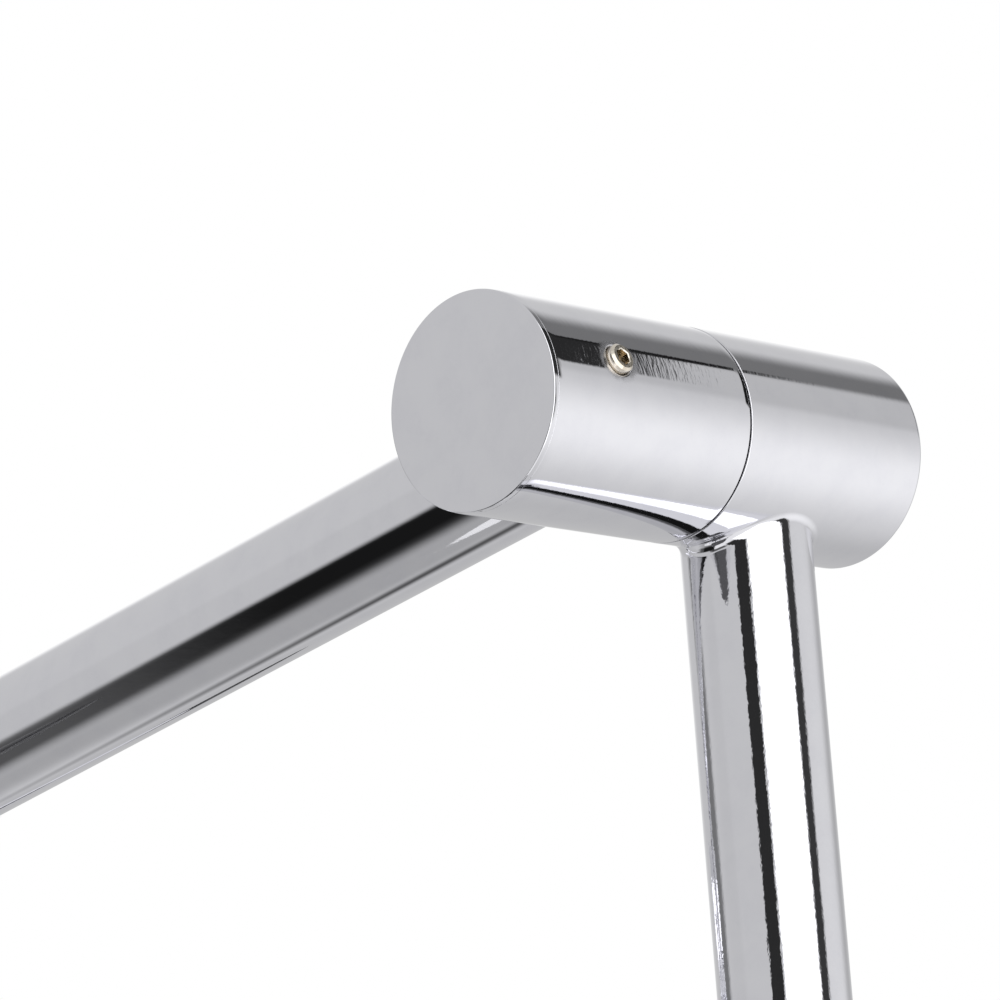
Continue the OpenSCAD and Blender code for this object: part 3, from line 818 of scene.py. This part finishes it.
def shoulder_end(name, node, flip):
    """A smooth moulded paddle that grows out of a collar on the bar and ends in a full round."""
    turn = np.arange(END_ROUND) * 2 * np.pi / END_ROUND
    # angle back from the bar's end in degrees, half width and half height in mm
    keys = np.array([
        [8.9, 13.6, 13.6], [8.85, 14.3, 14.2], [8.7, 14.6, 14.5], [8.2, 14.8, 14.6], [7.6, 15.0, 14.6],
        [6.6, 16.0, 14.7], [5.4, 17.9, 14.8], [4.0, 20.2, 14.8], [2.6, 21.8, 14.6], [1.2, 22.2, 14.0],
        [0.2, 21.6, 13.2], [-0.6, 20.1, 12.0], [-1.3, 17.6, 10.3], [-1.9, 13.9, 8.0], [-2.3, 9.6, 5.5],
        [-2.52, 5.0, 2.9], [-2.58, 1.2, 0.8],
    ])
    places = np.interp(np.linspace(0, len(keys) - 1, END_RINGS), np.arange(len(keys)), keys[:, 0])
    smooth_keys = [np.interp(-places, -keys[:, 0], keys[:, i]) for i in (1, 2)]
    shell_points, faces = [], []
    for back, wide, high in zip(places, *smooth_keys):
        point, lift = shoulder(SHOULDER_SLOPE - math.radians(back))
        c, s = np.cos(turn), np.sin(turn)
        q_w = np.sign(c) * np.abs(c) ** (2 / SQUARISH) * wide * MM
        q_h = np.sign(s) * np.abs(s) ** (2 / SQUARISH) * high * MM
        ring = point + q_w[:, None] * FORWARD + q_h[:, None] * lift
        shell_points.append(other_side(ring) if flip else ring)
    count = len(turn)
    for k in range(len(shell_points) - 1):
        for i in range(count):
            j = (i + 1) % count
            quad = [k * count + i, k * count + j, (k + 1) * count + j, (k + 1) * count + i]
            faces.append(quad[::-1] if flip else quad)
    last = len(shell_points) - 1
    first_face, last_face = list(range(count)), [last * count + i for i in range(count)]
    faces.append(first_face if flip else first_face[::-1])
    faces.append(last_face[::-1] if flip else last_face)
    mesh = bpy.data.meshes.new(name)
    mesh.from_pydata(np.concatenate(shell_points).tolist(), [], faces)
    mesh.validate()
    outward_side(mesh)
    mesh.polygons.foreach_set("use_smooth", [True] * len(mesh.polygons))
    obj = bpy.data.objects.new(name, mesh)
    bpy.context.scene.collection.objects.link(obj)
    piece(obj, "hanger", "pad_plastic", [node])


def outward_side(mesh):
    """Turns a closed mesh the right way out if its volume comes out negative."""
    mesh.calc_loop_triangles()
    p = np.array([v.co for v in mesh.vertices])
    t = np.array([list(tri.vertices) for tri in mesh.loop_triangles])
    if np.einsum("ij,ij->i", p[t[:, 0]], np.cross(p[t[:, 1]], p[t[:, 2]])).sum() < 0:
        mesh.flip_normals()


shoulder_end("shoulder_end_right", "shoulder_pad_right", False)
shoulder_end("shoulder_end_left", "shoulder_pad_left", True)

# ---------- collars on the column

SLEEVE_R = 13 * MM
COLLAR_LEN, RING_LEN, RING_R = 34 * MM, 14 * MM, 16 * MM
RING_GAP = 0.2 * MM
RING_HOLE_REACH = 4.5 * MM
RING_DRILL = (0.0, RING_HOLE_REACH, HOLE_R, 0.3 * MM)
RING_STOPS = (-RING_HOLE_REACH, RING_HOLE_REACH)
SCREW_PROUD = 0.2 * MM
TUBE_BORE_R = TUBE_R + 0.08 * MM


def on_column(node):
    """The point of the column's axis at the middle of a collar."""
    return FOOT + ((middle(node) - FOOT) @ UP_COLUMN) * UP_COLUMN


def sleeve_path(low, high, outer, inner, edge, stops=()):
    """The profile of a plain ring, with places kept on both sides for a cross hole."""
    inner_edge = 0.2 * MM
    start = low + 1.2 * MM if stops else (low + high) / 2
    path = [(start, inner, 0), (low, inner, inner_edge), (low, outer, edge)]
    path += [(s, outer, 0) for s in stops]
    path += [(high, outer, edge), (high, inner, inner_edge)]
    path += [(s, inner, 0) for s in stops[::-1]]
    return profile(path)


def column_collar(kind, body):
    """A swivel collar and the clamped ring under it. Returns the collar's middle."""
    collar, ring = f"{kind}_collar", f"{kind}_stop_ring"
    centre = on_column(collar)
    half_len = COLLAR_LEN / 2
    rows = sleeve_path(-half_len, half_len, HUB_R, SLEEVE_R + FIT, 0.6 * MM)
    place = (centre, UP_COLUMN, COLUMN_BACK)
    turned(f"{collar}_shell", body, "tray_chrome", [collar], rows, place, closed=True)
    ring_middle = centre - (half_len + RING_GAP + RING_LEN / 2) * UP_COLUMN
    half_len = RING_LEN / 2
    rows = sleeve_path(-half_len, half_len, RING_R, TUBE_BORE_R, 0.5 * MM, RING_STOPS)
    place = (ring_middle, UP_COLUMN, COLUMN_BACK)
    turned(f"{ring}_shell", "column", "tray_chrome", [ring], rows, place, RING_DRILL, closed=True)
    top, bottom = RING_R + SCREW_PROUD, TUBE_R + 0.18 * MM
    set_screw(f"{kind}_stop_screw", "column", ring_middle, COLUMN_BACK, top, bottom)
    return centre


rail_at = column_collar("rail", "trouser_rail")
tray_at = column_collar("tray", "tray")

# ---------- trouser rail

BAR_AT = middle("trouser_bar")
TEE_R = half_span("rail_tee")[2]
tee_half = half_span("rail_tee")[0]
tube(
    "rail_bracket_welded", "trouser_rail", "chrome", ["rail_bracket"],
    (rail_at, UP_COLUMN, HUB_R), (BAR_AT, X, TEE_R), BAR_R, THIN_WELD,
)
rows = sleeve_path(-tee_half, tee_half, TEE_R, BAR_R + FIT, 0.8 * MM, RING_STOPS)
turned(
    "rail_tee_shell", "trouser_rail", "tray_chrome", ["rail_tee"],
    rows, (BAR_AT, X, DOWN_COLUMN), RING_DRILL, closed=True,
)
set_screw("rail_tee_screw", "trouser_rail", BAR_AT, DOWN_COLUMN, TEE_R + SCREW_PROUD, BAR_R + 0.1 * MM)

bar_half = half_span("trouser_bar")[0]
BAR_BORE_R = BAR_R - WALL
rows = sleeve_path(-bar_half, bar_half, BAR_R, BAR_BORE_R, 0.3 * MM)
turned(
    "trouser_bar_tube", "trouser_rail", "chrome", ["trouser_bar"],
    rows, (BAR_AT, X, Z), closed=True, look="bar_chrome",
)

GRIP_R = half_span("trouser_grips")[2]
GRIP_START = 22 * MM
GRIP_STOP = corners("trouser_grips")[1][0]
GRIP_BORE_R = BAR_R + FIT
RIBS, RIB_PITCH, GROOVE_DEPTH = 42, 3 * MM, 0.55 * MM


def groove(at, r, depth, slope, floor):
    """A round groove in a profile: it starts at a place on the axis and on the radius r."""
    edge = 0.2 * MM
    return [
        (at, r, edge), (at + slope, r - depth, edge),
        (at + slope + floor, r - depth, edge), (at + 2 * slope + floor, r, edge),
    ]


def grip(name, along, replaced):
    """A rubber sleeve with grooves round it, between plain ends."""
    path = [(GRIP_START + 5 * MM, GRIP_BORE_R, 0), (GRIP_START, GRIP_BORE_R, 0.2 * MM)]
    path += [(GRIP_START, GRIP_R, 0.7 * MM)]
    for k in range(RIBS):
        path += groove(GRIP_START + 8 * MM + k * RIB_PITCH, GRIP_R, GROOVE_DEPTH, 0.35 * MM, 0.6 * MM)
    path += [(GRIP_STOP, GRIP_R, 0.7 * MM), (GRIP_STOP, GRIP_BORE_R, 0.2 * MM)]
    place = (BAR_AT, along, Z)
    turned(name, "trouser_rail", "rubber", replaced, profile(path, 2), place, closed=True)


PLUG_R, PLUG_DEPTH, PLUG_RIM = BAR_BORE_R - FIT, 12 * MM, 1.0 * MM


def bar_plug(name, along, replaced):
    """A domed plug in the end of the bar."""
    tip = corners("trouser_bar_plugs")[1][0]
    rim = bar_half + PLUG_RIM
    rise = tip - rim
    dome_r = (BAR_R**2 + rise**2) / (2 * rise)
    path = [(bar_half - PLUG_DEPTH, 0, 0), (bar_half - PLUG_DEPTH, PLUG_R, 0.5 * MM)]
    path += [(bar_half + FIT, PLUG_R, 0), (bar_half + FIT, BAR_R, 0.15 * MM), (rim, BAR_R, 0)]
    rows = profile(path, 4)
    for angle in np.linspace(math.asin(BAR_R / dome_r), 0, 24):
        c, s = math.cos(angle), math.sin(angle)
        rows.append((tip - dome_r + dome_r * c, dome_r * s, c, s))
    turned(name, "trouser_rail", "chrome", replaced, rows, (BAR_AT, along, Z))


for along, word in ((X, "right"), (-X, "left")):
    first = word == "right"
    grip(f"grip_{word}", along, ["trouser_grips"] if first else ())
    bar_plug(f"bar_plug_{word}", along, ["trouser_bar_plugs"] if first else ())

# ---------- tray

bracket_stop = corners("tray_bracket")[1][0]
tube(
    "tray_bracket_welded", "tray", "chrome", ["tray_bracket"],
    (tray_at, UP_COLUMN, HUB_R), (tray_at * [0, 1, 1] + bracket_stop * X,), BAR_R, THIN_WELD, Z,
)


def outline_part(name, body, slot, replaced, rows, low, high, corner):
    """A part of rounded oblong outline. rows are (z, -inset, normal up, normal outwards)."""
    shell = Shell()
    centre, reach = (low + high) / 2, (high - low) / 2 - corner
    spots, outward = [], []
    for sx, sy, first in CORNERS:
        for angle in np.radians(first + np.linspace(0, 90, 25)):
            spots.append([centre[0] + sx * reach[0], centre[1] + sy * reach[1], 0])
            outward.append([math.cos(angle), math.sin(angle), 0])
    spots, outward = np.array(spots), np.array(outward)
    previous = None
    for z, back, up, out in rows:
        n = up * Z + out * outward
        if previous and abs(z - previous[2]) + abs(back - previous[3]) < SAME:
            previous = (previous[0], n, z, back)
            continue
        points = spots + (corner + back) * outward + z * Z
        ids = shell.add(points)
        if previous:
            shell.strip(previous[0], ids, previous[1], n)
        else:
            shell.fan(ids, np.array([centre[0], centre[1], z]), up * Z)
        previous = (ids, n, z, back)
    shell.fan(previous[0], np.array([centre[0], centre[1], previous[2]]), up * Z)
    return piece(shell.build(name), body, slot, replaced)


TRAY_CORNER = 24 * MM
MAT_CORNER = TRAY_CORNER - 2 * MM
SHEET = 1.5 * MM
# deep is how far in from the outline a face's last ring lies; one fan fills the face inside it
low, high = corners("tray_dish")
deep = TRAY_CORNER - 2 * MM
dish_rows = profile([
    (low[2], -deep, 0), (low[2], 0, 2.2 * MM), (high[2], 0, 0.7 * MM),
    (high[2], -SHEET, 0.7 * MM), (low[2] + SHEET, -SHEET, 1.2 * MM), (low[2] + SHEET, -deep, 0),
], 8)
outline_part("tray_dish_pressed", "tray", "tray_chrome", ["tray_dish"], dish_rows, low, high, TRAY_CORNER)

low, high = corners("tray_mat")
deep = MAT_CORNER - 3 * MM
groove_floor, groove_edge = high[2] - 0.5 * MM, 0.4 * MM
mat_rows = profile([
    (low[2], -deep, 0), (low[2], 0, 0.3 * MM), (high[2], 0, 0.9 * MM),
    (high[2], -5 * MM, groove_edge), (groove_floor, -5.6 * MM, groove_edge),
    (groove_floor, -6.8 * MM, groove_edge), (high[2], -7.4 * MM, groove_edge),
    (high[2], -deep, 0),
], 5)
outline_part("tray_mat_soft", "tray", "mat", ["tray_mat"], mat_rows, low, high, MAT_CORNER)

# ---------- rubber feet

pads_high = corners("foot_pads")[1]
PAD_R = 13 * MM
PAD_HOLE_R, PAD_HOLE_DEPTH = 3.65 * MM, 3 * MM   # for the foot's screw, from below
PAD_GROOVE = 0.6 * MM
foot_path = [
    (PAD_HOLE_DEPTH, 0, 0), (PAD_HOLE_DEPTH, PAD_HOLE_R, 0), (0, PAD_HOLE_R, 0.4 * MM),
    (0, PAD_R - 0.6 * MM, 1.0 * MM),
]
for at in (2.2 * MM, 4.2 * MM):
    foot_path += groove(at, PAD_R, PAD_GROOVE, 0.3 * MM, 0.6 * MM)
foot_path += [(pads_high[2], PAD_R - 0.3 * MM, 0.7 * MM), (pads_high[2], 0, 0)]
for number, (side, end) in enumerate(((-1, -1), (-1, 1), (1, -1), (1, 1)), 1):
    under = np.array([side * (pads_high[0] - PAD_R), end * (pads_high[1] - PAD_R), 0.0])
    replaced = ["foot_pads"] if number == 1 else ()
    turned(f"rubber_foot_{number}", "base", "rubber", replaced, profile(foot_path, 3), (under, Z, X))

# ---------- studio

# The studio seen from the stand, as soft cards on a sphere. Each belongs to one of three maps of the
# sphere, which differ in their pole, and is (map, turn, height, half turn, half height, soft edge in
# turn, soft edge in height, brightness), in degrees. Height is measured from the map's equator up to
# its pole. Brightness is the grey level, 0 to 255, that polished chrome shows of it.
MAPS = {
    # pole, where the turn is zero, where it is 90 degrees
    "room": (Z, -Y, X),
    "hub": (-X, Y, Z),
    "arm": (ALONG_ARM, X, np.cross(ALONG_ARM, X)),
}
BASE_LEVEL = 190
# A later card lies over an earlier one.
CARDS = [
    # walls, floor and the shadows between them
    ("room", 229, -14, 4, 3, 62, 40, 236),
    ("room", 318, 15, 4, 4, 22, 16, 231),
    ("room", 278, 8, 0, 0, 26, 14, 166),
    ("room", 330, -20, 40, 14, 30, 16, 178),
    ("room", 8, -74, 60, 10, 40, 14, 160),
    ("room", 312, -52, 0, 1, 10, 10, 80),
    ("room", 16, 3, 5, 6, 10, 4, 112),
    # the dark and grey bands of the ceiling, which the top of a hub shows
    ("hub", 82, 46, 7, 12, 23, 12, 110),
    ("hub", 54, 48, 13, 10, 9, 10, 180),
    ("hub", 72.6, 40, 1.3, 8, 1.5, 1.2, 22),
    ("hub", 58.5, 30, 12.5, 17.1, 3.0, 0.6, 40),
    ("hub", 56, 56.5, 18, 4.5, 5, 1.0, 24),
    ("hub", 37, 27, 10, 14, 5, 4, 44),
    # a low fill light, then the key light between two dark gaps, which an upright tube shows
    ("room", 150, -44, 58, 22, 22, 10, 228),
    ("room", 88, -14, 12, 6, 10, 5, 86),
    ("room", 119, 12, 9.5, 34, 2.0, 10, 42),
    ("room", 165, 14, 31, 50, 3.0, 8, 300),
    ("room", 206, 14, 5.5, 26, 6.0, 8, 54),
    # the grey, black and pale bands that run along the arm
    ("arm", -40, 38, 13, 10, 26, 12, 80),
    ("arm", -36, 28, 10, 12.0, 28, 3.4, 22),
    ("arm", 5, 40, 16, 10, 11, 10, 186),
]
CHROME_SHARE = 0.80      # how much of the light the chrome returns
ROOM_LIGHT = 0.96


def brightness(grey):
    """The light that polished chrome shows as a grey level. Over 255 it grows on past white."""
    white = 255
    linear = (min(grey, white) / white + 0.055) / 1.055
    return linear**2.4 * max(1.0, grey / white) ** 2.2 / CHROME_SHARE


def studio():
    """The cards for whatever is seen in the metal, and an even pale room for everything else."""
    world = bpy.data.worlds.new("studio")
    bpy.context.scene.world = world
    world.use_nodes = True
    g = Graph(world.node_tree)
    way = g.node("ShaderNodeTexCoord").outputs["Generated"]
    degree = 180 / math.pi
    dot = {"operation": "DOT_PRODUCT"}

    def along(direction):
        return g.node("ShaderNodeVectorMath", dot, _0=way, _1=tuple(direction)).outputs["Value"]

    def light(strength):
        return g.node("ShaderNodeBackground", Color=(1, 1, 1, 1), Strength=strength).outputs[0]

    places = {}
    for key, (pole, zero, quarter) in MAPS.items():
        turn = g.math("MULTIPLY", g.math("ARCTAN2", along(quarter), along(zero)), degree)
        height = g.math("MULTIPLY", g.math("ARCSINE", along(pole)), degree)
        places[key] = (turn, height)
    level = brightness(BASE_LEVEL)
    for key, at_turn, at_height, wide, high, soft_turn, soft_height, grey in CARDS:
        turn, height = places[key]
        off = g.math("ABSOLUTE", g.math("WRAP", g.math("SUBTRACT", turn, at_turn), 180.0, -180.0))
        lift = g.math("ABSOLUTE", g.math("SUBTRACT", height, at_height))
        in_turn = g.smooth(off, wide, wide + soft_turn, 1.0, 0.0)
        in_height = g.smooth(lift, high, high + soft_height, 1.0, 0.0)
        mask = g.math("MULTIPLY", in_turn, in_height)
        mixed = g.node("ShaderNodeMix", {"data_type": "FLOAT"}, _0=mask, _2=level, _3=brightness(grey))
        level = mixed.outputs[0]
    seen_in = g.node("ShaderNodeLightPath").outputs
    other = g.node(
        "ShaderNodeMixShader", _0=seen_in["Is Glossy Ray"], _1=light(ROOM_LIGHT), _2=light(level),
    ).outputs[0]
    both = g.node("ShaderNodeMixShader", _0=seen_in["Is Camera Ray"], _1=other, _2=light(1.0))
    out = g.node("ShaderNodeOutputWorld")
    g.tree.links.new(both.outputs[0], out.inputs[0])


studio()


def floor_part(name, inner, outer, in_chrome):
    """A round stretch of floor, which chrome shows or doesn't."""
    mesh = bpy.data.meshes.new(name)
    turn = np.arange(FLOOR_ROUND) * 2 * np.pi / FLOOR_ROUND
    ring = np.stack([np.cos(turn), np.sin(turn), 0 * turn], 1)
    n = FLOOR_ROUND
    if inner:
        points = np.concatenate([inner * ring, outer * ring])
        faces = [[i, n + i, n + (i + 1) % n, (i + 1) % n] for i in range(n)]
    else:
        points, faces = outer * ring, [list(range(n))]
    mesh.from_pydata(points.tolist(), [], faces)
    obj = bpy.data.objects.new(name, mesh)
    bpy.context.scene.collection.objects.link(obj)
    obj.visible_glossy = in_chrome
    mesh.materials.append(FLOOR)
    obj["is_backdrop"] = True


FLOOR, g = material("studio_floor")
speck = g.noise((400, 400, 400), detail=2.0)
pale = g.mix(speck, (0.90, 0.90, 0.905, 1), (0.93, 0.93, 0.93, 1))
finished(FLOOR, g, Base_Color=pale, Roughness=0.8)
FLOOR_ROUND = 128
NEAR_FLOOR, FAR_FLOOR = 0.38, 30.0
floor_part("floor_near", 0, NEAR_FLOOR, True)
floor_part("floor_far", NEAR_FLOOR, FAR_FLOOR, False)

LAMP_SIZE, LAMP_WATTS, LAMP_AT = 3.0, 14, (0.4, -0.6, 3.4)
LAMP_TILT = (math.radians(-10), math.radians(7), 0)
top_light = bpy.data.lights.new("overhead_softbox", "AREA")
top_light.shape = "DISK"
top_light.size = LAMP_SIZE
top_light.energy = LAMP_WATTS
lamp = bpy.data.objects.new("overhead_softbox", top_light)
lamp.location = LAMP_AT
lamp.rotation_euler = LAMP_TILT
lamp.visible_camera = False
lamp.visible_glossy = False
bpy.context.scene.collection.objects.link(lamp)

# ---------- camera

CAMERA_FROM_DISC = np.array([34.572, 32.958, -7.850])  # from the elbow's end disc, in hub radii
CAMERA_TILT, CAMERA_HEADING = math.radians(98.30), math.radians(133.33)
camera_data = bpy.data.cameras.new("camera")
camera_data.lens = 198.33
camera_data.sensor_width = 36
camera = bpy.data.objects.new("camera", camera_data)
bpy.context.scene.collection.objects.link(camera)
disc_centre = ELBOW + CAP_END * X
camera.location = disc_centre + HUB_R * CAMERA_FROM_DISC
camera.rotation_euler = (CAMERA_TILT, 0, CAMERA_HEADING)
bpy.context.scene.camera = camera
bpy.context.scene.view_settings.view_transform = "Standard"
bpy.context.scene.view_settings.look = "None"

low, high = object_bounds()
